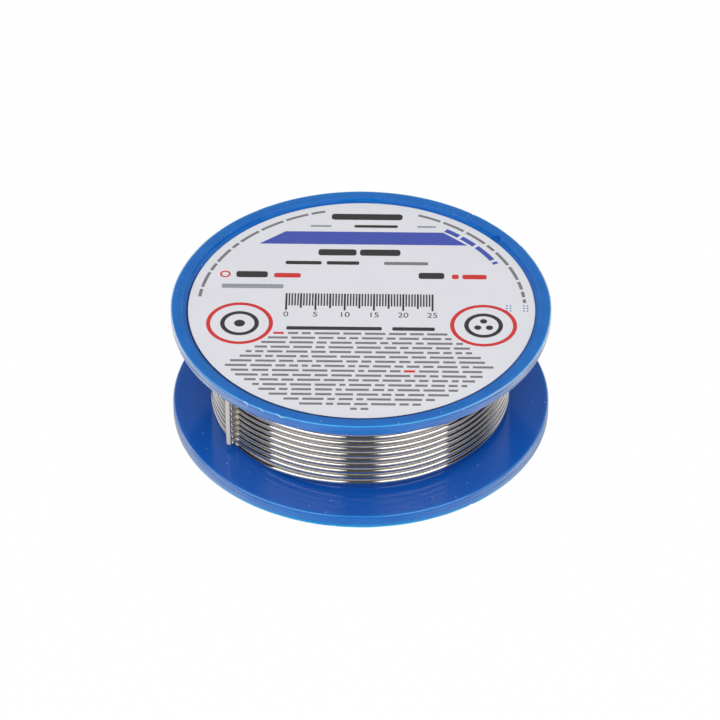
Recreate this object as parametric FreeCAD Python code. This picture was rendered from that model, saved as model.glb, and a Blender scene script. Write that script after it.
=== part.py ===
import FreeCAD, Part
import math
import os

# Solder wire spool: two moulded halves pressed together, a round label and one length of wound wire.
# Millimetres. Z is the spool's axis, the lower rim rests on Z = 0, and the label is read from -Y.
# Angles are in degrees, counterclockwise from +X.

# Spool, overall
flange_diameter = 65.0
spool_width = 22.0

# Flange and its rim
flange_thickness = 2.4
rim_width = 2.0
recess_depth = 0.55
recess_edge_chamfer = 0.15
outer_edge_radius = 0.2
inner_edge_radius = 0.9
parting_step = 0.06

# Round pocket that the moulding gate was broken off in, at the edge of the label recess
gate_pocket_radius = 0.85
gate_pocket_depth = 0.4
gate_pocket_inset = 0.2
gate_angle = 39.5

# Barrel that the wire is wound on, and the press joint between the halves
barrel_radius = 19.3
barrel_wall = 1.6
spigot_height = 3.0
joint_clearance = 0.04

# Hub, its bore for a bench spindle, and the ribs between hub and barrel
bore_radius = 5.5
bore_chamfer = 0.4
hub_wall = 1.4
collar_wall = 1.4
collar_height = 6.0
rib_count = 6
rib_thickness = 1.2

# Label
label_thickness = 0.1
label_edge_gap = 0.86
label_shift = 0.1

# Wire and winding
wire_diameter = 1.2
flux_diameter = 0.49
layer_count = 6
layer_pitch = 1.04
winding_clearance = 0.03
turn_pitch = 1.215
turn_gap = 0.425
start_angle = 135.0
quarter_climbs = (0.0, 0.68, 0.32, 0.0)
start_bend = 1.2
start_pocket_room = 0.5

# Free end of the wire, bent down in front of the turns
tail_angle = 211.7
tail_standoff = 1.0
tail_bend_radius = 1.5
tail_end_gap = 1.0
flux_plug_length = 2.0

# Inner end of the wire, threaded through a hole in the barrel and bent up inside it
thread_hole_clearance = 0.3
thread_hole_height = 1.6
thread_angle = 150.0
inner_end_reach = 3.2
inner_end_rise = 5.0
inner_end_bend_radius = 2.0

# Worked out from the sizes above
rim_radius = flange_diameter / 2
recess_radius = rim_radius - rim_width
middle = spool_width / 2
hub_radius = bore_radius + hub_wall
collar_bore = hub_radius + joint_clearance
collar_radius = collar_bore + collar_wall
barrel_bore = barrel_radius - barrel_wall
joint_radius = barrel_radius - barrel_wall / 2
label_seat = spool_width - recess_depth
label_radius = recess_radius - label_edge_gap
inside_width = spool_width - 2 * flange_thickness
whole_turns = int((inside_width - wire_diameter) / turn_pitch)
drawn_diameter = turn_pitch - turn_gap
winding_radius = barrel_radius + wire_diameter + (layer_count - 1) * layer_pitch
turn_radius = winding_radius - drawn_diameter / 2
core_radius = winding_radius - drawn_diameter - winding_clearance
first_turn_height = flange_thickness + wire_diameter / 2
pocket_top = first_turn_height + drawn_diameter / 2 + start_pocket_room


def V(x, y, z):
    return FreeCAD.Vector(x, y, z)


UP = V(0, 0, 1)
CENTRE = V(0, 0, 0)


def radial(angle):
    """Unit vector from the axis outwards at an angle."""
    turn = math.radians(angle)
    return V(math.cos(turn), math.sin(turn), 0)


def tangential(angle):
    """Unit vector along the winding at an angle."""
    turn = math.radians(angle)
    return V(-math.sin(turn), math.cos(turn), 0)


def disc(radius, low, high):
    return Part.makeCylinder(radius, high - low, V(0, 0, low))


def ring(inner, outer, low, high):
    return disc(outer, low, high).cut(disc(inner, low, high))


def joined(solids):
    """One clean solid of several that touch or overlap."""
    shape = solids[0].fuse(solids[1:])
    return shape.removeSplitter()


def revolved(steps):
    """A solid turned about Z. A step is a point (radius, height), or an arc's middle point and end point."""
    last = V(steps[0][0], 0, steps[0][1])
    first = last
    edges = []
    for step in steps[1:]:
        if len(step) == 4:
            middle_point = V(step[0], 0, step[1])
            end = V(step[2], 0, step[3])
            edges.append(Part.Arc(last, middle_point, end).toShape())
        else:
            end = V(step[0], 0, step[1])
            edges.append(Part.LineSegment(last, end).toShape())
        last = end
    edges.append(Part.LineSegment(last, first).toShape())
    return Part.Face(Part.Wire(edges)).revolve(CENTRE, UP, 360)


def rounded(corner_radius, corner_height, size, side):
    """A quarter arc round an outside corner: its middle and end points. Side is 1 below, -1 above."""
    short = size * (1 - math.sqrt(0.5))
    if side > 0:
        return (corner_radius - short, corner_height + short, corner_radius, corner_height + size)
    return (corner_radius - short, corner_height - short, corner_radius - size, corner_height)


def flange(hole_radius, pocket_angle):
    """A flange with its outer face on Z = 0: a web, a label recess, and a rim that is rounded inside."""
    land = flange_thickness - inner_edge_radius
    side = rim_radius - parting_step
    body = revolved([
        (hole_radius, recess_depth),
        (recess_radius, recess_depth),
        (recess_radius, recess_edge_chamfer),
        (recess_radius + recess_edge_chamfer, 0),
        (rim_radius - outer_edge_radius, 0),
        rounded(rim_radius, 0, outer_edge_radius, 1),
        (rim_radius, land),
        (side, land),
        rounded(side, flange_thickness, inner_edge_radius, -1),
        (hole_radius, flange_thickness),
    ])
    place = radial(pocket_angle) * (recess_radius - gate_pocket_inset)
    floor = recess_depth + gate_pocket_depth
    pocket = Part.makeCylinder(gate_pocket_radius, floor, place)
    mouth = Part.makeCone(gate_pocket_radius + recess_edge_chamfer, gate_pocket_radius,
                          recess_edge_chamfer, place)
    return body.cut([pocket, mouth])


def ribs(inner, outer, low, high):
    """Radial ribs, let into the walls at both ends."""
    solids = []
    for number in range(rib_count):
        rib = Part.makeBox(outer - inner, rib_thickness, high - low, V(inner, -rib_thickness / 2, low))
        rib.rotate(CENTRE, UP, number * 360 / rib_count)
        solids.append(rib)
    return solids


def lower_half():
    """Flange, the whole hub tube, the lower barrel with its spigot, ribs, and the hole for the wire's start."""
    barrel = ring(barrel_bore, barrel_radius, flange_thickness, middle)
    spigot = ring(barrel_bore, joint_radius - joint_clearance, middle, middle + spigot_height)
    hub = ring(bore_radius, hub_radius, recess_depth, label_seat)
    stiffeners = ribs(hub_radius - hub_wall / 2, barrel_radius - barrel_wall / 2, flange_thickness, middle)
    body = joined([flange(bore_radius, gate_angle), barrel, spigot, hub] + stiffeners)
    height = flange_thickness + thread_hole_height
    start = radial(thread_angle) * hub_radius + V(0, 0, height)
    hole = Part.makeCylinder(wire_diameter / 2 + thread_hole_clearance, barrel_radius,
                             start, radial(thread_angle))
    chamfer = Part.makeCone(bore_radius + bore_chamfer, bore_radius, bore_chamfer, V(0, 0, recess_depth))
    return body.cut([hole, chamfer])


def upper_half():
    """Flange, the collar that grips the hub tube, the upper barrel with its socket, and ribs."""
    socket_floor = middle - spigot_height - joint_clearance
    collar_top = flange_thickness + collar_height
    barrel = ring(barrel_bore, barrel_radius, flange_thickness, socket_floor)
    socket = ring(joint_radius, barrel_radius, socket_floor, middle)
    collar = ring(collar_bore, collar_radius, flange_thickness, collar_top)
    stiffeners = ribs(collar_radius - collar_wall / 2, barrel_radius - barrel_wall / 2,
                      flange_thickness, min(socket_floor, collar_top))
    body = joined([flange(collar_bore, -gate_angle), barrel, socket, collar] + stiffeners)
    body.rotate(V(0, 0, middle), V(1, 0, 0), 180)
    return body


def front_label():
    """A round paper label on the floor of the upper recess, a little off centre as it was stuck on."""
    return Part.makeCylinder(label_radius, label_thickness, V(label_shift, 0, label_seat))


def corner_arc(before, corner, after, setback):
    """An arc round a corner between two directions, and its two ends. The setback is along each side."""
    first = corner - before * setback
    last = corner + after * setback
    half_turn = before.getAngle(after) / 2
    radius = setback / math.tan(half_turn)
    inward = (after - before).normalize()
    middle_point = corner + inward * (radius / math.cos(half_turn) - radius)
    return Part.Arc(first, middle_point, last).toShape(), first, last


def tangent_arc(first, direction, last):
    """The arc that leaves a point along a direction and ends at another point."""
    chord = last - first
    lean = direction.getAngle(chord)
    across = (direction - chord * (direction.dot(chord) / chord.dot(chord))).normalize()
    middle_point = first + chord * 0.5 + across * (chord.Length / 2 * math.tan(lean / 2))
    return Part.Arc(first, middle_point, last).toShape()


def biarc(first, first_direction, last, last_direction):
    """Two arcs that join two points and keep both directions."""
    span = last - first
    total = first_direction + last_direction
    spread = 2 * (1 - first_direction.dot(last_direction))
    reach = (math.sqrt(span.dot(total) ** 2 + spread * span.dot(span)) - span.dot(total)) / spread
    joint = (first + first_direction * reach + last - last_direction * reach) * 0.5
    forward = tangent_arc(first, first_direction, joint)
    back = tangent_arc(last, last_direction * -1, joint)
    return [forward, back]


def start_corner():
    """The corner that the wire turns from the radial start pocket into the first turn."""
    first_turn = radial(start_angle) * turn_radius + V(0, 0, first_turn_height)
    corner = first_turn - tangential(start_angle) * start_bend
    outward = V(corner.x, corner.y, 0).normalize()
    return corner, outward


def outer_layer_path():
    """The centre line of the outer layer: start, level turns that step up at the front, and the tail."""
    corner, outward = start_corner()
    bend, bend_start, place = corner_arc(outward, corner, tangential(start_angle), start_bend)
    edges = [Part.LineSegment(bend_start - outward * drawn_diameter, bend_start).toShape(), bend]
    angle = start_angle
    height = first_turn_height
    for turn in range(whole_turns):
        for climb in quarter_climbs:
            height += climb * turn_pitch
            following = radial(angle + 90) * turn_radius + V(0, 0, height)
            edges += biarc(place, tangential(angle), following, tangential(angle + 90))
            angle += 90
            place = following
    tail_radius = winding_radius + tail_standoff
    lead = math.sqrt(tail_radius ** 2 - turn_radius ** 2)
    leave_angle = tail_angle - math.degrees(math.atan2(lead, turn_radius))
    leave = radial(leave_angle) * turn_radius + V(0, 0, height)
    edges.append(tangent_arc(place, tangential(start_angle), leave))
    onward = tangential(leave_angle)
    tail_corner = leave + onward * lead
    tail_bend, bend_end, drop = corner_arc(onward, tail_corner, UP * -1, tail_bend_radius)
    tail_end = V(tail_corner.x, tail_corner.y, flange_thickness + tail_end_gap)
    edges += [Part.LineSegment(leave, bend_end).toShape(), tail_bend, Part.LineSegment(drop, tail_end).toShape()]
    return Part.Wire(edges), bend_start - outward * drawn_diameter, outward, tail_end


def tube(path, start, direction, diameter):
    section = Part.Wire(Part.Circle(start, direction, diameter / 2).toShape())
    return path.makePipeShell([section], True, False)


def least_gap(path, diameter, step, apart):
    """The least clear distance between stretches of a tube that lie over a given length apart along it."""
    points = path.discretize(Distance=step)
    cell = 2 * diameter
    places = {}
    for number, point in enumerate(points):
        key = (int(point.x // cell), int(point.y // cell), int(point.z // cell))
        places.setdefault(key, []).append(number)
    skip = int(apart / step)
    shifts = [(a, b, c) for a in (-1, 0, 1) for b in (-1, 0, 1) for c in (-1, 0, 1)]
    least = float("inf")
    for number, point in enumerate(points):
        key = (int(point.x // cell), int(point.y // cell), int(point.z // cell))
        for a, b, c in shifts:
            for other in places.get((key[0] + a, key[1] + b, key[2] + c), []):
                if other - number > skip:
                    least = min(least, point.distanceToPoint(points[other]))
    return least - diameter


def outer_layer_and_flux():
    """The outer layer of turns as one tube, drawn slimmer than the wire so that its turns stay apart,
    and the plug of rosin flux that shows in its cut end."""
    path, start, direction, tail_end = outer_layer_path()
    turns = tube(path, start, direction, drawn_diameter)
    section = math.pi * drawn_diameter ** 2 / 4
    print("outer layer: turns", whole_turns, "length", round(path.Length, 1),
          "volume", round(turns.Volume, 2), "section times length", round(section * path.Length, 2))
    print("outer layer: least gap", round(least_gap(path, drawn_diameter, 0.25, 5.0), 3))
    flux_radius = drawn_diameter * flux_diameter / wire_diameter / 2
    plug = Part.makeCylinder(flux_radius, flux_plug_length, tail_end)
    return turns.cut(plug), plug


def inner_layers():
    """The layers under the outer one as a plain ring, with the notch that the outer layer starts from."""
    body = ring(barrel_radius + winding_clearance, core_radius,
                flange_thickness + winding_clearance, spool_width - flange_thickness - winding_clearance)
    corner, outward = start_corner()
    floor = corner.dot(outward) - start_bend - drawn_diameter
    side = drawn_diameter / 2 + start_pocket_room
    notch = Part.makeBox(rim_radius, 2 * side + start_bend, pocket_top, V(floor, -side, 0))
    notch.rotate(CENTRE, UP, math.degrees(math.atan2(outward.y, outward.x)))
    return body.cut(notch)


def inner_end():
    """The start of the wire: in through the barrel's hole and bent up, so that it can't pull out."""
    outward = radial(thread_angle)
    height = V(0, 0, flange_thickness + thread_hole_height)
    start = outward * barrel_radius + height
    corner = outward * (barrel_radius - inner_end_reach) + height
    bend, bend_start, rise = corner_arc(outward * -1, corner, UP, inner_end_bend_radius)
    path = Part.Wire([Part.LineSegment(start, bend_start).toShape(), bend,
                      Part.LineSegment(rise, corner + UP * inner_end_rise).toShape()])
    return tube(path, start, outward * -1, wire_diameter)


def main():
    os.makedirs("parts", exist_ok=True)
    outer_layer, flux_plug = outer_layer_and_flux()
    nodes = {
        "lower_spool_half": lower_half(),
        "upper_spool_half": upper_half(),
        "front_label": front_label(),
        "wire_outer_layer": outer_layer,
        "wire_inner_layers": inner_layers(),
        "wire_inner_end": inner_end(),
        "rosin_flux_core": flux_plug,
    }
    for name, shape in nodes.items():
        shape.exportStep("parts/" + name + ".step")
        print(name, "solids", len(shape.Solids), "valid", shape.isValid(), "volume", round(shape.Volume, 2))


main()
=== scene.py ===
"""Solder wire spool: the finish of every piece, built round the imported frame.

Metres. Z is the spool's axis, the lower rim rests on Z = 0, and the label is read from -Y.
"""

import math
import random

import bmesh
import bpy
from mathutils import Matrix, Vector, noise


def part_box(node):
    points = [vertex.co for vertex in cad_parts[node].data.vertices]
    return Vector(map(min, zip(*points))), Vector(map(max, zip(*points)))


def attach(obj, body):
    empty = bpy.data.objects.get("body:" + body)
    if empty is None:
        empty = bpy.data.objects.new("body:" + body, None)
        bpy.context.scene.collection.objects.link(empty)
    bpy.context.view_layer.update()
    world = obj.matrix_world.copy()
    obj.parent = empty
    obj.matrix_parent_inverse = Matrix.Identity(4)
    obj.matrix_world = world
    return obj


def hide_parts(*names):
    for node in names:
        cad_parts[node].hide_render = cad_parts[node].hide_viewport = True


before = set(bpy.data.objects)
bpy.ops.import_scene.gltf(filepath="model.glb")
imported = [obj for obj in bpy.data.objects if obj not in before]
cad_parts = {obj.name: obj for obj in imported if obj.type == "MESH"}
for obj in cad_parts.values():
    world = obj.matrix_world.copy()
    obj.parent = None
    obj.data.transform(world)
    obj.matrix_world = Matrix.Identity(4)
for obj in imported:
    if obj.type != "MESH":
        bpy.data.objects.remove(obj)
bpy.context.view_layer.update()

# Lower half of the spool: one blue polystyrene moulding with the flange that the spool lies on,
# the hub tube and the lower barrel. The rim stands round a shallow recess, its outer edge is
# sharp, the edge next to the wire is rounded, and the mould's parting line runs round its side.
MM = 0.001
flange_thickness = 2.4 * MM
rim_width = 2.0 * MM
recess_depth = 0.55 * MM
recess_edge = 0.15 * MM
outer_edge_radius = 0.1 * MM
inner_edge_radius = 0.9 * MM
lower_inner_edge = 0.35 * MM
parting_step = 0.06 * MM
parting_groove = 0.12 * MM
barrel_radius = 19.3 * MM
barrel_wall = 1.6 * MM
spigot_height = 3.0 * MM
joint_clearance = 0.04 * MM
bore_radius = 5.5 * MM
bore_chamfer = 0.4 * MM
hub_wall = 1.4 * MM
rib_count = 6
rib_thickness = 1.2 * MM
gate_pocket_radius = 0.85 * MM
gate_pocket_depth = 0.4 * MM
gate_pocket_inset = 0.2 * MM
gate_pocket_corner = 0.12 * MM
gate_angle = 39.5
thread_hole_radius = 0.9 * MM
thread_hole_height = 1.6 * MM
thread_angle = 150.0
thread_hole_start = 14 * MM
thread_hole_length = 8 * MM
worn_width = 0.6 * MM
worn_depth = 1.0 * MM
wander_size = 0.018 * MM
on_axis = 0.01 * MM

rim_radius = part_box("lower_spool_half")[1].x
spool_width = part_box("upper_spool_half")[1].z
middle = spool_width / 2
recess_radius = rim_radius - rim_width
label_seat = spool_width - recess_depth
hub_radius = bore_radius + hub_wall
label_low, label_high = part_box("front_label")
label_radius = (label_high.x - label_low.x) / 2
barrel_bore = barrel_radius - barrel_wall
joint_radius = barrel_radius - barrel_wall / 2
rim_steps = 720


def arc(centre_r, centre_z, radius, start, end, steps):
    """Points (radius, height) on a round stretch of an outline, from one angle to another in degrees."""
    points = []
    for step in range(steps + 1):
        turn = math.radians(start + (end - start) * step / steps)
        points.append((centre_r + radius * math.cos(turn), centre_z + radius * math.sin(turn)))
    return points


def flange_outline(hole_radius, inner_edge):
    """The outline of a flange on Z = 0, from its hole out over the recess and rim and back to the barrel."""
    side = rim_radius - parting_step
    land = flange_thickness - inner_edge
    groove = land - parting_groove
    floor_corner = recess_radius - recess_edge
    outline = [(hole_radius, recess_depth), (floor_corner, recess_depth)]
    outline += arc(floor_corner, recess_depth - recess_edge, recess_edge, 90, 0, 3)[1:]
    outline += arc(recess_radius + recess_edge, recess_edge, recess_edge, 180, 270, 4)
    outline += arc(rim_radius - outer_edge_radius, outer_edge_radius, outer_edge_radius, 270, 360, 6)
    outline += [(rim_radius, groove), (side - parting_step / 2, groove + parting_groove / 3)]
    outline += arc(side - inner_edge, land, inner_edge, 0, 90, 10)
    outline.append((barrel_radius, flange_thickness))
    return outline


def lathe(name, outline, steps):
    """A closed turned solid from a loop of points (radius, height)."""
    shape = bmesh.new()
    rings = []
    for step in range(steps):
        turn = 2 * math.pi * step / steps
        rings.append([shape.verts.new((r * math.cos(turn), r * math.sin(turn), z)) for r, z in outline])
    for step in range(steps):
        near = rings[step]
        far = rings[(step + 1) % steps]
        for point in range(len(outline)):
            after = (point + 1) % len(outline)
            shape.faces.new((near[point], far[point], far[after], near[after]))
    return finished(name, shape)


def finished(name, shape):
    """A smooth-shaded object from a mesh under construction."""
    bmesh.ops.recalc_face_normals(shape, faces=shape.faces)
    mesh = bpy.data.meshes.new(name)
    shape.to_mesh(mesh)
    shape.free()
    mesh.shade_smooth()
    return added(name, mesh)


def added(name, data):
    """A new object in the scene."""
    piece = bpy.data.objects.new(name, data)
    bpy.context.scene.collection.objects.link(piece)
    return piece


def radial(angle, radius=1.0, height=0.0):
    """A point or direction at an angle round the axis, in degrees."""
    turn = math.radians(angle)
    return Vector((radius * math.cos(turn), radius * math.sin(turn), height))


def shaped(piece):
    """The mesh of a piece as its modifiers, or the outlines of its figures, leave it."""
    bpy.context.view_layer.update()
    return bpy.data.meshes.new_from_object(piece.evaluated_get(bpy.context.evaluated_depsgraph_get()))


def changed_by(piece, kind, **settings):
    """Applies one modifier to a piece for good."""
    modifier = piece.modifiers.new(kind.lower(), kind)
    for name, value in settings.items():
        setattr(modifier, name, value)
    mesh = shaped(piece)
    piece.modifiers.remove(modifier)
    piece.data = mesh


def cut_away(piece, cutter):
    """Cuts one shape out of a piece and deletes the cutter."""
    changed_by(piece, "BOOLEAN", operation="DIFFERENCE", solver="EXACT", object=cutter)
    bpy.data.objects.remove(cutter)


def gate_pocket_cutter(face, outward):
    """A turned plug the shape of the gate pocket, standing across a flange's outer face."""
    floor = recess_depth + gate_pocket_depth
    mouth = gate_pocket_radius + recess_edge
    foot = gate_pocket_radius - gate_pocket_corner
    outline = [(on_axis, -1 * MM), (mouth, -1 * MM), (mouth, 0)]
    outline += arc(mouth, recess_edge, recess_edge, 270, 180, 3)[1:]
    outline += arc(foot, floor - gate_pocket_corner, gate_pocket_corner, 0, 90, 3)
    outline.append((on_axis, floor))
    cutter = lathe("pocket_cutter", outline, 48)
    place = radial(gate_angle, recess_radius - gate_pocket_inset, face)
    cutter.matrix_world = Matrix.Translation(place) @ Matrix.Diagonal((1, 1, outward, 1))
    return cutter


def ribs(name, inner, outer, low, high):
    """Radial ribs between hub and barrel, let into both walls."""
    shape = bmesh.new()
    for number in range(rib_count):
        turn = Matrix.Rotation(math.radians(number * 360 / rib_count), 4, "Z")
        place = Matrix.Translation(((inner + outer) / 2, 0, (low + high) / 2))
        size = Matrix.Diagonal((outer - inner, rib_thickness, high - low, 1))
        bmesh.ops.create_cube(shape, size=1.0, matrix=turn @ place @ size)
    return finished(name, shape)


def joined(piece, others):
    """Adds the meshes of other pieces to a piece."""
    shape = bmesh.new()
    shape.from_mesh(piece.data)
    for other in others:
        shape.from_mesh(other.data)
        bpy.data.objects.remove(other)
    shape.to_mesh(piece.data)
    shape.free()


def rim_wear(piece, nicks, face, outward):
    """Handling marks: the rim's outer edge wanders a little, and dips at each nick (angle, width, depth)."""
    for vertex in piece.data.vertices:
        point = vertex.co
        radius = math.hypot(point.x, point.y)
        depth = (point.z - face) * outward
        if radius < rim_radius - worn_width or depth > worn_depth:
            continue
        angle = math.degrees(math.atan2(point.y, point.x)) % 360
        near_edge = max(0.0, 1 - (rim_radius - radius) / worn_width) * max(0.0, 1 - depth / worn_depth)
        wander = wander_size * noise.noise(Vector((point.x, point.y, face)) * 420)
        dent = 0.0
        for place, width, size in nicks:
            offset = (angle - place) / width
            dent += size * MM * math.exp(-offset * offset)
        inward = Vector((-point.x / radius, -point.y / radius, 0))
        vertex.co = point + (inward + Vector((0, 0, outward))) * (wander + dent) * near_edge


class Finish:
    """The shader nodes of one finish. An input is a number, a colour or what another node gives out."""

    def __init__(self, owner):
        owner.use_nodes = True
        self.nodes = owner.node_tree.nodes
        self.links = owner.node_tree.links

    def feed(self, node, inputs):
        """Sets a node's inputs, or links those that come from another node."""
        for name, value in inputs.items():
            if isinstance(value, bpy.types.NodeSocket):
                self.links.new(value, node.inputs[name])
            else:
                node.inputs[name].default_value = value
        return node

    def node(self, kind, inputs=None, **settings):
        """A new node with its settings and inputs."""
        node = self.nodes.new("ShaderNode" + kind)
        for name, value in settings.items():
            setattr(node, name, value)
        return self.feed(node, inputs or {})

    def surface(self, inputs):
        """Sets or links inputs of the finish's own shader."""
        self.feed(self.nodes["Principled BSDF"], inputs)

    def maths(self, operation, first, second=0.0):
        """One sum with one or two values."""
        return self.node("Math", {0: first, 1: second}, operation=operation).outputs["Value"]

    def times(self, value, *factors):
        """The product of several values."""
        for factor in factors:
            value = self.maths("MULTIPLY", value, factor)
        return value

    def ramp(self, source, low, high, start, end, way="SMOOTHSTEP"):
        """A change from start to end while the source goes from low to high."""
        inputs = {"Value": source, "From Min": low, "From Max": high, "To Min": start, "To Max": end}
        return self.node("MapRange", inputs, interpolation_type=way).outputs["Result"]

    def mix(self, start, end, share, kind="RGBA"):
        """A blend of two colours, or of two numbers."""
        return self.node("Mix", {"A": start, "B": end, "Factor": share}, data_type=kind).outputs["Result"]

    def tones(self, share, stops, way="LINEAR"):
        """Colours in turn, at stops of (share, colour)."""
        node = self.node("ValToRGB", {"Fac": share})
        band = node.color_ramp
        band.interpolation = way
        while len(band.elements) < len(stops):
            band.elements.new(0.5)
        for element, (place, colour) in zip(band.elements, stops):
            element.position = place
            element.color = (*colour, 1)
        return node.outputs["Color"]

    def noise(self, place, **inputs):
        """Uneven variation without a pattern."""
        return self.node("TexNoise", {"Vector": place, **inputs}).outputs["Fac"]

    def from_axis(self, place):
        """The distance from the spool's axis."""
        flat = self.node("VectorMath", {0: place, 1: (1, 1, 0)}, operation="MULTIPLY").outputs["Vector"]
        return self.node("VectorMath", {0: flat}, operation="LENGTH").outputs["Value"]

    def relief(self, height, strength, distance):
        """Fine relief, as a change of the surface's direction."""
        inputs = {"Height": height, "Strength": strength, "Distance": distance}
        return self.node("Bump", inputs).outputs["Normal"]


def plastic(name, seed):
    """Blue polystyrene, a little see-through and satin, with painted glow, highlights, sheen and shade, fine
    scuffs and specks of dust.
    """
    pigment = (0.008, 0.148, 0.535, 1)
    cloudy_pigment = (0.012, 0.168, 0.575, 1)
    # The next six colours are painted light and shade: shade on the faces towards the wire, glow at thin
    # rims, a highlight on their outer corners, glow along the lower rim's bottom edge, a glint on curls of
    # plastic, and shade in the gap at the label's edge.
    painted_inner_shade = (0.006, 0.102, 0.485, 1)
    painted_rim_glow = (0.012, 0.29, 0.76, 1)
    painted_corner_highlight = (0.06, 0.46, 0.90, 1)
    painted_glow_below = (0.01, 0.62, 1.00, 1)
    painted_curl_glint = (0.30, 0.68, 0.90, 1)
    painted_gap_shade = (0.001, 0.012, 0.09, 1)
    pale_dust = (0.60, 0.72, 0.85, 1)
    # Pale colour of the painted sheen and scuffs on the rims' sides.
    pale_sheen_and_scuff = (0.86, 0.89, 0.95, 1)

    material = bpy.data.materials.new(name)
    finish = Finish(material)
    place = finish.node("TexCoord").outputs["Object"]
    offset = {"Vector": place, "Location": (seed, seed * 0.7, seed * 0.3)}
    shifted = finish.node("Mapping", offset).outputs["Vector"]
    parts = finish.node("SeparateXYZ", {"Vector": place}).outputs
    radius = finish.from_axis(place)
    from_middle = finish.maths("ABSOLUTE", finish.maths("SUBTRACT", parts["Z"], middle))
    from_web = finish.maths("ABSOLUTE", finish.maths("SUBTRACT", from_middle, middle - flange_thickness / 2))

    # Cloudy variation of the pigment. Then painted light and shade: shade, deeper blue, on the faces
    # towards the wire; glow and a highlight, paler blue, at a flange's thin edges and along the lower
    # rim's bottom edge; and a glint where a curl of plastic stands up.
    clouds = finish.ramp(finish.noise(shifted, Scale=160.0, Detail=3.0), 0.35, 0.65, 0, 1)
    colour = finish.mix(pigment, cloudy_pigment, clouds)
    web = middle - flange_thickness
    # Painted shade on the faces between the flanges, towards the wire.
    colour = finish.mix(colour, painted_inner_shade, finish.ramp(from_middle, web, web + 0.15 * MM, 1, 0))
    # Painted glow at the thin rims and a painted highlight along their outer corners.
    outermost = finish.ramp(radius, rim_radius - 0.26 * MM, rim_radius - 0.08 * MM, 0, 1)
    corner = finish.ramp(from_web, flange_thickness * 0.42, flange_thickness * 0.49, 0, 1)
    near_edge = finish.ramp(radius, rim_radius - 1.1 * MM, rim_radius, 0, 0.2)
    colour = finish.mix(colour, painted_rim_glow, finish.times(near_edge, corner))
    colour = finish.mix(colour, painted_corner_highlight, finish.times(outermost, corner, 0.8))
    # Painted glow along the lower rim's bottom edge, as if light came through it from below.
    underside = finish.maths("ADD", finish.ramp(parts["Z"], 0.15 * MM, 1.0 * MM, 0.3, 0),
                             finish.ramp(parts["Z"], 0.05 * MM, 0.28 * MM, 0.5, 0))
    colour = finish.mix(colour, painted_glow_below, finish.times(outermost, underside))
    # Painted glint on the curls of plastic that stand out of the rim.
    proud = finish.maths("MAXIMUM", finish.ramp(radius, rim_radius + 0.01 * MM, rim_radius + 0.05 * MM, 0, 1),
                         finish.ramp(parts["Z"], spool_width + 0.01 * MM, spool_width + 0.05 * MM, 0, 1))
    colour = finish.mix(colour, painted_curl_glint, proud)

    # Painted shade in the gap at the label's edge, strongest at the front and faint at the back.
    gap_shade = finish.times(
        finish.ramp(radius, label_radius + 0.12 * MM, label_radius + 0.34 * MM, 0.9, 0),
        finish.ramp(parts["Y"], 4 * MM, 18 * MM, 1, 0.1),
        finish.maths("GREATER_THAN", parts["Z"], middle),
        finish.ramp(radius, label_radius - 0.4 * MM, label_radius - 0.2 * MM, 0, 1),
    )
    colour = finish.mix(colour, painted_gap_shade, gap_shade)

    # Dust: one grain in a few cells of a cell pattern.
    grains = finish.node("TexVoronoi", {"Vector": shifted, "Scale": 1250.0, "Randomness": 1.0}).outputs
    chosen = finish.node("TexWhiteNoise", {"Vector": grains["Color"]}).outputs["Value"]
    grain = finish.ramp(grains["Distance"], 0.08, 0.15, 1, 0)
    dust = finish.times(grain, finish.maths("GREATER_THAN", chosen, 0.93))
    colour = finish.mix(colour, pale_dust, finish.times(dust, 0.7))

    # Painted sheen over fine scuff lines that run round the rims' sides, strongest on the left and
    # right and on the upper rim, and two pale lines where the mould's parts met, shown towards the sides.
    drawn_out = finish.node("Mapping", {"Vector": place, "Scale": (70, 70, 3200)}).outputs["Vector"]
    fine_lines = finish.noise(drawn_out, Scale=1.0, Detail=2.0)
    side = finish.ramp(radius, rim_radius - 0.30 * MM, rim_radius - 0.10 * MM, 0, 1)
    turned_aside = finish.ramp(finish.maths("ABSOLUTE", parts["X"]), 0, 18 * MM, 0, 1)
    sheen_and_scuffs = finish.times(
        finish.ramp(finish.maths("ABSOLUTE", parts["Y"]), 13 * MM, 31 * MM, 0.45, 0.015),
        finish.ramp(parts["Z"], 3 * MM, 18 * MM, 0.6, 1.2),
        finish.ramp(fine_lines, 0.36, 0.64, 0.3, 1.55),
    )
    for line, shown in ((1.0, 0.08), (1.55, 0.06)):
        from_line = finish.maths("ABSOLUTE", finish.maths("SUBTRACT", from_middle, middle - line * MM))
        mark = finish.times(finish.ramp(from_line, 0.05 * MM, 0.14 * MM, shown, 0), turned_aside)
        sheen_and_scuffs = finish.maths("ADD", sheen_and_scuffs, mark)

    # Satin gloss, broken by handling haze and dust.
    haze = finish.noise(shifted, Scale=55.0, Detail=5.0, Roughness=0.6)
    gloss = finish.ramp(haze, 0.3, 0.7, 0.11, 0.19)
    ripple = finish.noise(shifted, Scale=650.0, Detail=2.0)
    finish.surface({
        # Base colour with the painted sheen and scuffs on the rims' sides.
        "Base Color": finish.mix(colour, pale_sheen_and_scuff, finish.times(sheen_and_scuffs, side)),
        "Specular IOR Level": finish.maths("ADD", finish.times(side, 0.5), 0.5),
        "Roughness": finish.maths("ADD", gloss, finish.times(dust, 0.4)),
        "Normal": finish.relief(ripple, 0.12, 0.02 * MM),
        "IOR": 1.5,
        "Subsurface Weight": 0.12,
        "Subsurface Radius": (0.1, 0.6, 1.0),
        "Subsurface Scale": 0.8 * MM,
    })
    return material


def dressed(piece, material, slot, *nodes):
    """Gives a piece its material, puts it on the body and lets it stand for its CAD nodes. The slot is not
    used.
    """
    piece.data.materials.clear()
    piece.data.materials.append(material)
    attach(piece, "root")
    if nodes:
        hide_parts(*nodes)


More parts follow.
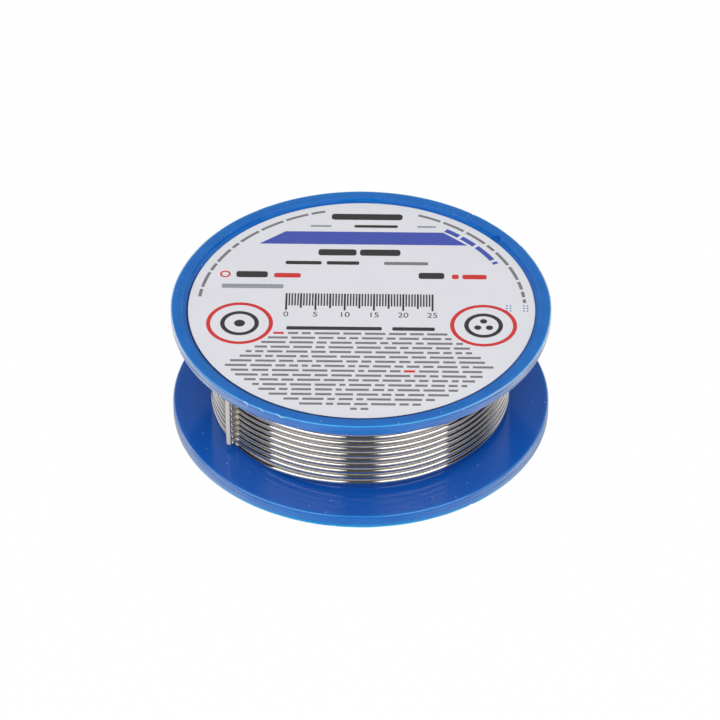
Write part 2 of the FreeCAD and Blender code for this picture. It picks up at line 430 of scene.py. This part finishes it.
lower_outline = flange_outline(bore_radius + bore_chamfer, lower_inner_edge)
lower_outline += [
    (barrel_radius, middle),
    (joint_radius - joint_clearance, middle),
    (joint_radius - joint_clearance, middle + spigot_height),
    (barrel_bore, middle + spigot_height),
    (barrel_bore, flange_thickness),
    (hub_radius, flange_thickness),
    (hub_radius, label_seat),
    (bore_radius, label_seat),
    (bore_radius, recess_depth + bore_chamfer),
]
lower_half = lathe("spool_lower_half", lower_outline, rim_steps)
cut_away(lower_half, gate_pocket_cutter(0, 1))
thread_hole_outline = [(on_axis, 0), (thread_hole_radius, 0),
                       (thread_hole_radius, thread_hole_length), (on_axis, thread_hole_length)]
thread_hole = lathe("thread_hole_cutter", thread_hole_outline, 24)
thread_hole.matrix_world = (
    Matrix.Translation(radial(thread_angle, thread_hole_start, flange_thickness + thread_hole_height))
    @ Matrix.Rotation(math.radians(thread_angle), 4, "Z") @ Matrix.Rotation(math.radians(90), 4, "Y")
)
cut_away(lower_half, thread_hole)
rim_wear(lower_half, [(262.0, 0.8, 0.05), (305.0, 0.6, 0.06)], 0, 1)
lower_ribs = ribs("lower_ribs", hub_radius - hub_wall / 2, joint_radius, flange_thickness, middle)
joined(lower_half, [lower_ribs])
lower_half.data.set_sharp_from_angle(angle=math.radians(35))
changed_by(lower_half, "WEIGHTED_NORMAL", keep_sharp=True)
dressed(lower_half, plastic("blue_polystyrene_lower", 3.1), "spool_plastic", "lower_spool_half")

# Upper half: the second blue moulding, the same flange turned over. Its barrel's socket is pressed
# over the lower spigot and its collar grips the hub tube. Its rim has small dents from handling.
collar_bore = hub_radius + joint_clearance
collar_wall = 1.4 * MM
collar_radius = collar_bore + collar_wall
collar_top = flange_thickness + 6.0 * MM
socket_floor = middle - spigot_height - joint_clearance

upper_outline = flange_outline(collar_bore, inner_edge_radius)
upper_outline += [
    (barrel_radius, middle),
    (joint_radius, middle),
    (joint_radius, socket_floor),
    (barrel_bore, socket_floor),
    (barrel_bore, flange_thickness),
    (collar_radius, flange_thickness),
    (collar_radius, collar_top),
    (collar_bore, collar_top),
]
upper_half = lathe("spool_upper_half", [(r, spool_width - z) for r, z in upper_outline], rim_steps)
cut_away(upper_half, gate_pocket_cutter(spool_width, -1))
rim_nicks = [(234.2, 0.7, 0.10), (239.7, 0.5, 0.07), (246.0, 0.8, 0.09), (53.0, 0.3, 0.07),
             (32.0, 0.3, 0.07), (18.0, 0.35, 0.06), (291.0, 0.3, 0.05), (337.0, 0.4, 0.05)]
rim_wear(upper_half, rim_nicks, spool_width, -1)


def bridged(shape, near, far):
    """The faces between two rings of as many points."""
    faces = []
    for number in range(len(near)):
        after = (number + 1) % len(near)
        faces.append(shape.faces.new((near[number], near[after], far[after], far[number])))
    return faces


def burr(path, width):
    """A curl of plastic that a knock has pushed out of the rim, along points (angle, outward, up) in mm."""
    shape = bmesh.new()
    points = [radial(angle, rim_radius + outward * MM, spool_width + up * MM) for angle, outward, up in path]
    sides = 8
    rings = []
    for number, point in enumerate(points):
        onward = (points[min(number + 1, len(points) - 1)] - points[max(number - 1, 0)]).normalized()
        out = (radial(path[number][0]) + Vector((0, 0, 1))).normalized()
        out = (out - onward * out.dot(onward)).normalized()
        across = onward.cross(out)
        thick = width * MM * (0.25 + 0.75 * math.sin(math.pi * (number + 0.35) / (len(points) - 0.3)))
        ring = []
        for corner in range(sides):
            turn = 2 * math.pi * corner / sides
            arm = out * math.cos(turn) * 0.6 + across * math.sin(turn)
            ring.append(shape.verts.new(point + arm * thick))
        rings.append(ring)
    for near, far in zip(rings, rings[1:]):
        bridged(shape, near, far)
    shape.faces.new(rings[0])
    shape.faces.new(rings[-1])
    return finished("burr", shape)


burrs = [
    burr([(232.5, -0.10, -0.02), (233.1, -0.02, 0.06), (233.8, 0.0, 0.14), (234.5, 0.06, 0.08),
          (234.8, 0.11, -0.10), (234.7, 0.11, -0.30), (234.4, 0.07, -0.46)], 0.11),
    burr([(233.4, -0.08, 0.04), (233.7, 0.04, -0.02), (233.8, 0.10, -0.22)], 0.09),
    burr([(238.6, -0.12, 0.04), (239.1, -0.03, 0.06), (239.7, 0.07, -0.06), (240.3, 0.07, -0.2)], 0.10),
    burr([(244.0, -0.08, 0.0), (244.6, -0.04, 0.10), (245.2, 0.04, 0.06), (245.8, 0.09, -0.14),
          (246.4, 0.09, -0.12), (247.2, 0.04, -0.02)], 0.10),
]
upper_ribs = ribs("upper_ribs", collar_radius - collar_wall / 2, joint_radius,
                  spool_width - collar_top, spool_width - flange_thickness)
joined(upper_half, [upper_ribs, *burrs])
upper_half.data.set_sharp_from_angle(angle=math.radians(35))
changed_by(upper_half, "WEIGHTED_NORMAL", keep_sharp=True)
dressed(upper_half, plastic("blue_polystyrene_upper", 7.7), "spool_plastic", "upper_spool_half")

# Layers of wire under the outer one: bright tin-lead wire, 1.2 mm thick, wound tight on the barrel.
# Only the turns of the layer next to the outer one can be glimpsed, in the gap above the first turn,
# so that layer is real turns and the rest is the ring that they make together.
wire_radius = 0.6 * MM
turn_pitch = 1.215 * MM
under_depth = 1.06 * MM
turn_radius = 25.1 * MM
first_turn_height = flange_thickness + wire_radius
whole_turns = 13
start_angle = 135.0
wall_clearance = 0.03 * MM
ring_overlap = 0.08 * MM
front_angle = 270.0
steps_per_turn = 180


def solder(name, seed):
    """Drawn tin-lead wire: bright metal, with fine lines along it that smear highlights across it."""
    material = bpy.data.materials.new(name)
    finish = Finish(material)
    along_wire = finish.node("UVMap", uv_map="along_wire").outputs["UV"]
    direction = finish.node("Tangent", direction_type="UV_MAP", uv_map="along_wire").outputs["Tangent"]

    def streaks(along, across, detail):
        """Uneven lines that run along the wire."""
        drawn = {"Vector": along_wire, "Location": (seed, seed, 0), "Scale": (along, across, 1)}
        return finish.noise(finish.node("Mapping", drawn).outputs["Vector"], Scale=1.0, Detail=detail)

    metal_stops = [(0.35, (0.67, 0.635, 0.575)), (0.62, (0.87, 0.835, 0.76))]
    bright = finish.tones(streaks(0.12, 2.5, 3.0), metal_stops)
    gloss = finish.ramp(streaks(0.05, 1.2, 4.0), 0.3, 0.7, 0.08, 0.15, "LINEAR")

    # The free end stands clear of the turns, and handling has dulled its outer side. The turns are
    # matt along the lines where they touch their neighbours.
    clear = turn_radius + wire_radius + 0.28 * MM
    reach = finish.from_axis(finish.node("TexCoord").outputs["Object"])
    handled = finish.ramp(reach, clear, clear + 0.2 * MM, 0, 1)
    round_wire = finish.node("SeparateXYZ", {"Vector": along_wire}).outputs["Y"]
    from_front = finish.maths("SUBTRACT", round_wire, math.pi * wire_radius / MM - 0.17)
    rubbed = finish.ramp(finish.maths("ABSOLUTE", from_front), 0.58, 0.66, 0, 1)
    outer_side = finish.ramp(round_wire, 1.05, 1.25, 0, 1)
    dulled = finish.mix(rubbed, outer_side, handled, "FLOAT")
    matt = finish.mix((0.98, 0.93, 0.83, 1), (0.80, 0.72, 0.62, 1), handled)
    finish.surface({
        "Base Color": finish.mix(bright, matt, dulled),
        "Metallic": finish.mix(1.0, 0.05, dulled, "FLOAT"),
        "Roughness": finish.mix(gloss, 0.5, dulled, "FLOAT"),
        "Normal": finish.relief(streaks(0.25, 22.0, 2.0), 0.25, 0.004 * MM),
        "Tangent": direction,
        "Anisotropic": 0.7,
        "Anisotropic Rotation": 0.25,
    })
    return material


def wire(name, route, sides, cap_bore=0.0):
    """A round wire along a route, with its UVs in millimetres. The last end can show a bore, 2 mm deep."""
    shape = bmesh.new()
    chart = shape.loops.layers.uv.new("along_wire")
    rings = []
    lengths = [0.0]
    for number, point in enumerate(route):
        before = route[max(number - 1, 0)]
        after = route[min(number + 1, len(route) - 1)]
        if number:
            lengths.append(lengths[-1] + (point - before).length)
        onward = (after - before).normalized()
        outward = Vector((point.x, point.y, 0)).normalized()
        outward = (outward - onward * outward.dot(onward)).normalized()
        side = onward.cross(outward)
        ring = []
        for corner in range(sides):
            turn = 2 * math.pi * corner / sides + math.pi
            arm = outward * math.cos(turn) + side * math.sin(turn)
            ring.append(shape.verts.new(point + arm * wire_radius))
        rings.append(ring)
    width = 2 * math.pi * wire_radius / sides / MM
    for number in range(len(route) - 1):
        low = lengths[number] / MM
        high = lengths[number + 1] / MM
        for corner, face in enumerate(bridged(shape, rings[number], rings[number + 1])):
            places = ((low, corner), (low, corner + 1), (high, corner + 1), (high, corner))
            for loop, (u, v) in zip(face.loops, places):
                loop[chart].uv = (u, v * width)
    shape.faces.new(rings[0])
    last = rings[-1]
    if cap_bore:
        centre = route[-1]
        onward = (route[-1] - route[-2]).normalized()
        bore = cap_bore / wire_radius
        for share, depth in ((0.93, 0.035), (bore, 0.02), (bore, -2.0)):
            rise = onward * depth * MM
            ring = [shape.verts.new(centre + (vertex.co - centre) * share + rise) for vertex in rings[-1]]
            bridged(shape, last, ring)
            last = ring
    shape.faces.new(last)
    return finished(name, shape)


def eased(value, power=2.0):
    """0 before 0, 1 after 1, fast at first and slowing down towards 1."""
    return 1 - (1 - min(max(value, 0.0), 1.0)) ** power


def smooth(value):
    """0 before 0, 1 after 1, slow at both ends."""
    value = min(max(value, 0.0), 1.0)
    return value * value * (3 - 2 * value)


def climb(bearing, first_turn):
    """The share of the pitch that a turn has climbed at a bearing: 0 at the front, 90 on the right."""
    at_front = 0.773 if first_turn else 0.81
    step_up = eased((bearing + 39) / 37, 1.6) if first_turn else eased((bearing + 52) / 50)
    return at_front * step_up + (1 - at_front) * smooth((bearing - 36) / 94)


def bulge(bearing, first_turn):
    """How far the turns stand out: most at the left, where they cross over the turns under them."""
    crossing = smooth((bearing + 112) / 20) * (1 - smooth((bearing + 62) / 24))
    return 0.09 * MM + (0.20 if first_turn else 0.08) * MM * crossing


def unevenness(angle, seed, size):
    """How far hand-guided winding wanders at an angle, with no jump from turn to turn."""
    around = math.radians(angle)
    spot = Vector((1.6 * math.cos(around), 1.6 * math.sin(around), seed + angle / 360 * 0.9))
    return size * noise.noise(spot)


under_radius = turn_radius - under_depth
under_start = start_angle - 25.0
under_top = first_turn_height + (whole_turns - 0.5) * turn_pitch
under_route = []
for step in range(steps_per_turn * whole_turns + 1):
    angle = under_start + step * 360 / steps_per_turn
    turn = min(int((angle - under_start) // 360), whole_turns - 1)
    bearing = (angle - under_start) % 360 - (front_angle - under_start)
    fallen = turn + climb(bearing, False) if step < steps_per_turn * whole_turns else whole_turns
    height = max(under_top - turn_pitch * fallen, first_turn_height)
    last_stretch = smooth((angle - under_start - 360 * (whole_turns - 1) - 300) / 60)
    height += (first_turn_height - height) * last_stretch
    under_route.append(radial(angle, under_radius, height))
under_turns = wire("under_turns", under_route, 14)
ring_outer = under_radius - wire_radius + ring_overlap
ring_inner = barrel_radius + wall_clearance
ring_low = flange_thickness + wall_clearance
ring_high = spool_width - flange_thickness - wall_clearance
packed_ring = lathe("packed_ring", [(ring_inner, ring_low), (ring_outer, ring_low),
                                    (ring_outer, ring_high), (ring_inner, ring_high)], 180)
joined(under_turns, [packed_ring])
under_turns.data.set_sharp_from_angle(angle=math.radians(40))
under_turns.name = "wire_under_layers"
dressed(under_turns, solder("solder_under", 5.0), "solder", "wire_inner_layers")

# Outer layer: 13 close turns of the same wire and a part turn. Each turn steps up one pitch, most of
# it at the front left, and the first lies on the flange until then. The end leaves the last turn, is
# bent down by hand in front of the turns and is cut off square just above the lower flange.
flux_radius = 0.245 * MM
tail_angle = 212.5
tail_radius = turn_radius + wire_radius + 0.8 * MM
tail_bend_radius = 1.5 * MM
tail_end_height = flange_thickness + 1.0 * MM
tail_bow = 0.10 * MM
start_rise = 25.0

outer_route = []
lead = math.sqrt(tail_radius ** 2 - turn_radius ** 2)
leave_angle = tail_angle - math.degrees(math.atan2(lead, turn_radius))
last_angle = 360.0 * whole_turns + leave_angle - start_angle
step_count = int((last_angle + start_rise) / 1.5)
for step in range(step_count + 1):
    done = -start_rise + (last_angle + start_rise) * step / step_count
    angle = start_angle + done
    turn = max(int(done // 360), 0)
    bearing = (done % 360 if done > 0 else 0) - (front_angle - start_angle)
    risen = turn + climb(bearing, turn == 0)
    height = first_turn_height + turn_pitch * risen + unevenness(angle, 2.0, 0.035 * MM) * smooth(done / 40)
    radius = turn_radius + bulge(bearing, turn == 0) + unevenness(angle, 9.0, 0.03 * MM)
    radius += (under_radius - radius) * (1 - smooth((done + start_rise) / start_rise))
    outer_route.append(radial(angle, radius, height))
top_height = first_turn_height + turn_pitch * whole_turns
leave = outer_route[-1]
onward = radial(leave_angle + 90)
tail_corner = radial(leave_angle, turn_radius, top_height) + onward * lead
for step in range(1, 16):
    outer_route.append(leave.lerp(tail_corner - onward * tail_bend_radius, step / 15))
bend_centre = tail_corner - onward * tail_bend_radius - Vector((0, 0, tail_bend_radius))
for step in range(1, 13):
    turn = math.radians(90 * step / 12)
    outer_route.append(bend_centre + onward * tail_bend_radius * math.sin(turn)
                       + Vector((0, 0, tail_bend_radius * math.cos(turn))))
drop_start = outer_route[-1].copy()
for step in range(1, 31):
    share = step / 30
    spot = drop_start.lerp(Vector((tail_corner.x, tail_corner.y, tail_end_height)), share)
    outer_route.append(spot + radial(tail_angle) * tail_bow * math.sin(math.pi * share))
outer_turns = wire("wire_outer_turns", outer_route, 24, flux_radius)
outer_turns.data.set_sharp_from_angle(angle=math.radians(40))
dressed(outer_turns, solder("solder_outer", 0.0), "solder", "wire_outer_layer")

# Rosin flux: the amber core that runs inside the wire and shows as a dot in the cut end.
rosin_length = 1.9 * MM
rosin_radius = flux_radius - 0.005 * MM
rosin = bpy.data.materials.new("rosin_flux")
rosin_finish = Finish(rosin)
rosin_grain = rosin_finish.node("TexNoise", {"Scale": 4000.0}).outputs["Fac"]
rosin_tone = rosin_finish.tones(rosin_grain, [(0.0, (0.42, 0.16, 0.02)), (1.0, (0.62, 0.30, 0.06))])
rosin_finish.surface({"Base Color": rosin_tone, "Roughness": 0.35, "Coat Weight": 0.4})
rosin_outline = [(on_axis, 0.05 * MM), (flux_radius * 0.7, 0.03 * MM), (rosin_radius, 0.09 * MM),
                 (rosin_radius, rosin_length), (on_axis, rosin_length)]
rosin_core = lathe("rosin_core", rosin_outline, 24)
rosin_core.location = outer_route[-1]
dressed(rosin_core, rosin, "rosin", "rosin_flux_core")

# Start of the wire: threaded through the barrel's hole and bent up inside, where nothing shows it.
inner_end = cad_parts["wire_inner_end"]
inner_end.data.materials.clear()
inner_end.data.materials.append(bpy.data.materials["solder_under"])

# Label: coated white paper, stuck on the recess's floor 0.1 mm off centre.
label_top = label_high.z
label_shift = (label_high.x + label_low.x) / 2
paper_edge = 0.02 * MM

paper = bpy.data.materials.new("coated_paper")
paper_finish = Finish(paper)
paper_place = paper_finish.node("TexCoord").outputs["Object"]
paper_cloud = paper_finish.noise(paper_place, Scale=90.0, Detail=6.0)
paper_tone = paper_finish.tones(paper_cloud, [(0.3, (0.815, 0.820, 0.870)), (0.7, (0.840, 0.845, 0.892))])
paper_fibre = paper_finish.noise(paper_place, Scale=2600.0, Detail=4.0)
paper_reach = paper_finish.from_axis(paper_place)
# Painted shade on the label's cut edge, darkest at the very rim.
paper_edge_shade = paper_finish.ramp(paper_reach, label_radius - 0.06 * MM, label_radius, 0, 0.85, "LINEAR")
paper_finish.surface({
    "Base Color": paper_finish.mix(paper_tone, (0.10, 0.16, 0.32, 1), paper_edge_shade),
    "Roughness": 0.42,
    "IOR": 1.45,
    "Normal": paper_finish.relief(paper_fibre, 0.15, 0.01 * MM),
})

label_outline = [(on_axis, label_low.z), (label_radius - paper_edge, label_low.z),
                 (label_radius, label_low.z + paper_edge)]
label_outline += arc(label_radius - paper_edge, label_top - paper_edge, paper_edge, 0, 90, 3)
label_outline += [(label_radius - 0.3 * MM, label_top), (on_axis, label_top)]
label = lathe("label_paper_disc", label_outline, rim_steps)
label.location.x = label_shift
label.data.set_sharp_from_angle(angle=math.radians(35))
changed_by(label, "WEIGHTED_NORMAL", keep_sharp=True)
dressed(label, paper, "label_paper", "front_label")

# Print on the label: inks, each a film about a hundredth of a millimetre high. It is generic: a plain
# band, rows of bars where a label has its lines of print, rings, and a plain millimetre scale.
ink_height = 0.012 * MM
print_turn = math.radians(-0.8)
random.seed(41)


def print_place(x, y):
    """A place on the label in metres from millimetres in the print, which was stuck on a little turned."""
    return (label_shift + (x * math.cos(print_turn) - y * math.sin(print_turn)) * MM,
            (x * math.sin(print_turn) + y * math.cos(print_turn)) * MM)


class Ink:
    """One ink of the print: flat shapes, in millimetres, raised a little from the paper."""

    def __init__(self, name, colour):
        self.name = name
        self.colour = colour
        self.shape = bmesh.new()

    def area(self, outline, hole=None):
        """A flat area inside an outline, or between two outlines with as many points."""
        rims = [outline] if hole is None else [outline, hole]
        tops = []
        lows = []
        for rim in rims:
            tops.append([self.shape.verts.new((*print_place(x, y), label_top + ink_height)) for x, y in rim])
            lows.append([self.shape.verts.new((*print_place(x, y), label_top)) for x, y in rim])
        for top, low in zip(tops, lows):
            bridged(self.shape, top, low)
        for edges in (tops, lows):
            if hole is None:
                self.shape.faces.new(edges[0])
            else:
                bridged(self.shape, edges[0], edges[1])

    def bar(self, x, y, width, height, corner=0.0):
        """A bar round a centre, with round corners if it asks for them."""
        outline = []
        for side_x, side_y, start in ((1, -1, 270), (1, 1, 0), (-1, 1, 90), (-1, -1, 180)):
            centre_x = side_x * (width / 2 - corner)
            centre_y = side_y * (height / 2 - corner)
            for step in range(4 if corner else 1):
                at = math.radians(start + 30 * step)
                outline.append((centre_x + corner * math.cos(at), centre_y + corner * math.sin(at)))
        self.area([(x + a, y + b) for a, b in outline])

    def disc(self, x, y, radius, hole=0.0):
        """A round dot, or a ring with a hole of its own radius."""
        steps = 48 if radius > 1 else 12
        turns = [2 * math.pi * step / steps for step in range(steps)]
        edge = [(x + radius * math.cos(turn), y + radius * math.sin(turn)) for turn in turns]
        inner = [(x + (a - x) * hole / radius, y + (b - y) * hole / radius) for a, b in edge]
        self.area(edge, inner if hole else None)

    def words(self, start, end, height, place, longest=4.6, gap=0.62):
        """Plain bars of differing lengths, from one distance to another along a line or arc."""
        at = start
        while at < end - 0.5:
            width = min(random.uniform(0.9, longest), end - at)
            steps = max(1, math.ceil(width / 0.8))
            low = []
            high = []
            for step in range(steps + 1):
                x, y, up_x, up_y = place(at + width * step / steps)
                low.append((x - up_x * height / 2, y - up_y * height / 2))
                high.append((x + up_x * height / 2, y + up_y * height / 2))
            self.area(low + high[::-1])
            at += width + gap

    def piece(self):
        """The finished film of this ink."""
        film = finished(self.name, self.shape)
        for face in film.data.polygons:
            face.use_smooth = False
        material = bpy.data.materials.new(self.name + "_ink")
        finish = Finish(material)
        speckle = finish.noise(finish.node("TexCoord").outputs["Object"], Scale=3000.0, Detail=3.0)
        thin_ink = [part * 1.25 + 0.012 for part in self.colour]
        tone = finish.tones(speckle, [(0.3, self.colour), (0.75, thin_ink)])
        finish.surface({"Base Color": tone, "Roughness": 0.35})
        dressed(film, material, "label_paper")


def level(y):
    """Places along a level row at a height, with the direction that is up in the print."""
    return lambda at: (at, y, 0.0, 1.0)


def around(radius, start):
    """Places clockwise along an arc, from a start angle in degrees, with distances along the arc."""
    def place(at):
        angle = math.radians(start) - at / radius
        return (radius * math.cos(angle), radius * math.sin(angle), math.cos(angle), math.sin(angle))
    return place


black = Ink("label_print_black", (0.030, 0.026, 0.028))
small = Ink("label_print_small", (0.195, 0.190, 0.200))
grey = Ink("label_print_grey", (0.30, 0.31, 0.35))
red = Ink("label_print_red", (0.62, 0.030, 0.028))
blue = Ink("label_print_blue", (0.055, 0.085, 0.42))

# Head of the label: two plain bars and a plain band.
black.bar(0.6, 25.6, 12.4, 1.7, corner=0.6)
black.bar(2.2, 22.9, 7.6, 0.75, corner=0.3)
grey.bar(-7.4, 22.9, 3.6, 0.5)
grey.bar(11.0, 22.9, 3.2, 0.5)
blue.area([(-18.0, 17.7), (18.1, 17.7), (13.9, 21.3), (-13.5, 21.3)])

# Entries under the band, bold ones as bars with round corners.
black.bar(-4.4, 15.4, 6.6, 1.75, corner=0.5)
black.bar(3.0, 15.4, 7.0, 1.75, corner=0.5)
black.bar(-10.2, 12.4, 6.2, 0.95, corner=0.25)
black.bar(-3.4, 12.4, 5.6, 0.95, corner=0.25)
small.bar(7.5, 12.4, 7.6, 0.85, corner=0.25)
red.disc(-23.6, 9.0, 0.95, 0.62)
black.bar(-19.0, 9.0, 5.4, 1.7, corner=0.45)
red.bar(-12.9, 8.8, 4.6, 1.25, corner=0.4)
black.bar(11.9, 9.0, 4.4, 1.7, corner=0.45)
red.bar(16.0, 8.8, 1.2, 1.25, corner=0.4)
red.bar(19.3, 8.8, 4.2, 1.25, corner=0.4)
grey.bar(-18.8, 5.7, 10.6, 1.15, corner=0.3)

# Plain millimetre scale with its figures.
scale_left = -12.9
scale_top = 3.8
mark_pitch = 0.5
figure_height = 1.9 * MM
figure_foot = -2.6
for mark in range(51):
    tall = 4.6 if mark % 10 == 0 else 4.0 if mark % 5 == 0 else 3.4
    black.bar(scale_left + mark_pitch * mark, scale_top - tall / 2, 0.26 if mark % 5 else 0.34, tall)
for figure in range(6):
    outlines = bpy.data.curves.new("scale_figure", "FONT")
    outlines.body = str(5 * figure)
    outlines.size = figure_height
    outlines.align_x = "CENTER"
    outlines.extrude = ink_height / 2
    figure_piece = added("scale_figure", outlines)
    x, y = print_place(scale_left + 10 * mark_pitch * figure, figure_foot)
    stand = Matrix.Translation((x, y, label_top + ink_height / 2)) @ Matrix.Rotation(print_turn, 4, "Z")
    figure_mesh = shaped(figure_piece)
    figure_mesh.transform(stand)
    black.shape.from_mesh(figure_mesh)
    bpy.data.objects.remove(figure_piece)

# Two rings, each with a plain drawing of a wire's section and its cores.
ring_y = -4.6
for ring_x, cores in ((-20.7, 1), (20.8, 3)):
    red.disc(ring_x, ring_y, 5.7, 5.0)
    black.disc(ring_x, ring_y, 3.3, 2.55)
    for core in range(cores):
        angle = 2 * math.pi * core / cores + math.pi / 2
        reach = 1.15 if cores > 1 else 0.0
        core_radius = 0.62 if cores > 1 else 0.95
        black.disc(ring_x + reach * math.cos(angle), ring_y + reach * math.sin(angle), core_radius)

# Bold row, then the block of small rows that follows the label's edge.
black.bar(-4.6, -5.75, 16.2, 0.92, corner=0.2)
black.bar(8.9, -5.75, 7.2, 0.92, corner=0.2)
row_count = 17
row_pitch = 1.254
row_height = 0.56
top_row = -7.15
block_radius = 28.0
for row in range(row_count):
    y = top_row - row_pitch * row
    half = min(14.9 + 1.2 * row, math.sqrt(block_radius ** 2 - y * y))
    if row == row_count - 1:
        small.words(-1.5, 1.5, row_height, level(y), longest=3.0)
        continue
    if row == 0:
        red.bar(-half + 0.9, y, 1.8, row_height)
    left = -half + (2.5 if row == 0 else random.uniform(0.0, 0.6))
    right = half - random.uniform(0.0, 0.7)
    if row == 8:
        small.words(left, 6.8, row_height, level(y))
        red.bar(8.3, y, 1.9, row_height)
        left = 9.9
    small.words(left, right, row_height, level(y))

# Small print along the edge, a blue entry, and two groups of printed dots.
edge_radius = 27.9
entry_radius = 26.2
small.words(0, edge_radius * math.radians(174.5 - 104.0), row_height, around(edge_radius, 174.5))
small.words(0, edge_radius * math.radians(70.0 - 3.5), row_height, around(edge_radius, 70.0))
blue.words(0, entry_radius * math.radians(56.9 - 28.6), 0.95, around(entry_radius, 56.9), longest=5.0)
for group_x in (24.8, 27.7):
    for column in range(2):
        for row in range(3):
            blue.disc(group_x + 0.62 * column, 0.9 - 0.7 * row, 0.16)

for ink in (black, small, grey, red, blue):
    ink.piece()

# Floor: a plain white surface. The camera sees it white, with the spool's faint shadow, and metal and
# plastic see it with painted light and shade: light where soft boxes would light it, dark where not.
floor_mesh = bmesh.new()
bmesh.ops.create_circle(floor_mesh, cap_ends=True, segments=96, radius=4.0)
floor = finished("floor", floor_mesh)
floor.location.z = -0.02 * MM
floor_material = bpy.data.materials.new("white_floor")
floor.data.materials.append(floor_material)


def studio_ring(finish, parts, levels):
    """Brightness by bearing, the same left and right: levels are (degrees from the front, brightness)."""
    bearing = finish.maths("ARCTAN2", finish.maths("ABSOLUTE", parts["X"]), finish.times(parts["Y"], -1.0))
    stops = [(degrees / 180, (brightness,) * 3) for degrees, brightness in levels]
    return finish.tones(finish.maths("DIVIDE", bearing, math.pi), stops, "EASE")


white = Finish(floor_material)
white.nodes.remove(white.nodes["Principled BSDF"])
floor_place = white.node("TexCoord").outputs["Object"]
floor_parts = white.node("SeparateXYZ", {"Vector": floor_place}).outputs
floor_reach = white.from_axis(floor_place)
floor_ray = white.node("LightPath").outputs
floor_clear = white.maths("MAXIMUM", floor_ray["Is Camera Ray"], floor_ray["Is Transmission Ray"])
floor_seen = white.maths("MAXIMUM", floor_clear, floor_ray["Is Glossy Ray"])
floor_levels = [(4, 0.10), (28, 0.92), (55, 0.92), (69, 0.08), (98, 0.08), (110, 0.40), (132, 0.95)]
far_floor = white.times(studio_ring(white, floor_parts, floor_levels),
                        white.ramp(floor_reach, 35 * MM, 120 * MM, 0.45, 0.95))
near_floor = white.times(white.ramp(white.maths("ABSOLUTE", floor_parts["X"]), 4 * MM, 28 * MM, 0.15, 0.50),
                         white.ramp(floor_reach, 35 * MM, 62 * MM, 1.0, 0.0))
near_floor = white.maths("MAXIMUM", near_floor, white.ramp(floor_parts["Y"], 0, 12 * MM, 0.0, 0.95))
floor_shown = white.maths("MAXIMUM", floor_clear, white.maths("MAXIMUM", far_floor, near_floor))
floor_matt = white.node("BsdfDiffuse", {"Color": (0.80, 0.80, 0.80, 1)}).outputs["BSDF"]
floor_white = white.node("Emission", {"Strength": floor_shown}).outputs["Emission"]
floor_mix = white.node("MixShader", {"Fac": white.times(floor_seen, 0.985), 1: floor_matt, 2: floor_white})
white.feed(white.nodes["Material Output"], {"Surface": floor_mix.outputs["Shader"]})

# Studio: a white wall behind the spool, and a ceiling lit to both sides of a dark strip over the
# camera, as metal and plastic see them. The camera sees white.
studio = bpy.data.worlds.new("studio")
bpy.context.scene.world = studio
walls = Finish(studio)
studio_parts = walls.node("SeparateXYZ", {"Vector": walls.node("TexCoord").outputs["Generated"]}).outputs
wall_levels = [(4, 0.08), (20, 0.03), (101, 0.02), (117, 0.50), (140, 0.90), (168, 0.35)]
studio_wall = studio_ring(walls, studio_parts, wall_levels)
studio_ceiling = walls.times(walls.ramp(walls.maths("ABSOLUTE", studio_parts["X"]), 0.08, 0.26, 0.0, 0.40),
                             walls.ramp(studio_parts["Z"], 0.70, 0.86, 0, 1))
studio_seen = walls.maths("MAXIMUM", walls.node("LightPath").outputs["Is Camera Ray"],
                          walls.maths("MAXIMUM", studio_wall, studio_ceiling))
walls.feed(walls.nodes["Background"], {"Color": (1, 1, 1, 1), "Strength": studio_seen})


def soft_light(name, bearing, elevation, distance, width, height, level):
    """A soft box, by its bearing from the front, its elevation and its brightness, with white as 1."""
    lamp = bpy.data.lights.new(name, "AREA")
    lamp.shape = "RECTANGLE"
    lamp.size = width
    lamp.size_y = height
    # Four watts for each square metre make its face look white.
    lamp.energy = 4 * width * height * level
    light = added(name, lamp)
    flat = math.cos(math.radians(elevation)) * distance
    light.location = radial(270 + bearing, flat, distance * math.sin(math.radians(elevation)) + middle)
    aim = Vector((0, 0, middle)) - light.location
    light.rotation_euler = aim.to_track_quat("-Z", "Y").to_euler()
    light.visible_camera = False
    return light


soft_light("soft_box_left", -41.0, 20.0, 1.2, 1.22, 0.72, 1.55)
soft_light("soft_box_right", 37.5, 20.0, 1.2, 1.06, 0.72, 1.55)
fill = soft_light("fill_above", 0.0, 58.0, 1.3, 1.3, 1.1, 1.7)
fill.visible_glossy = False

# Camera: where the photograph was taken from, 39 degrees above the spool.
camera_place = Vector((-0.162, -649.445, 533.168)) * MM
camera_tilt = 51.15
camera_roll = 0.08
camera_data = bpy.data.cameras.new("camera")
camera_data.lens = 242.1
camera_data.sensor_width = 36.0
camera_data.clip_start = 0.05
camera = added("camera", camera_data)
tilt = Matrix.Rotation(math.radians(camera_tilt), 4, "X")
roll = Matrix.Rotation(math.radians(camera_roll), 4, "Z")
camera.matrix_world = Matrix.Translation(camera_place) @ tilt @ roll
bpy.context.scene.camera = camera
bpy.context.scene.view_settings.view_transform = "Standard"
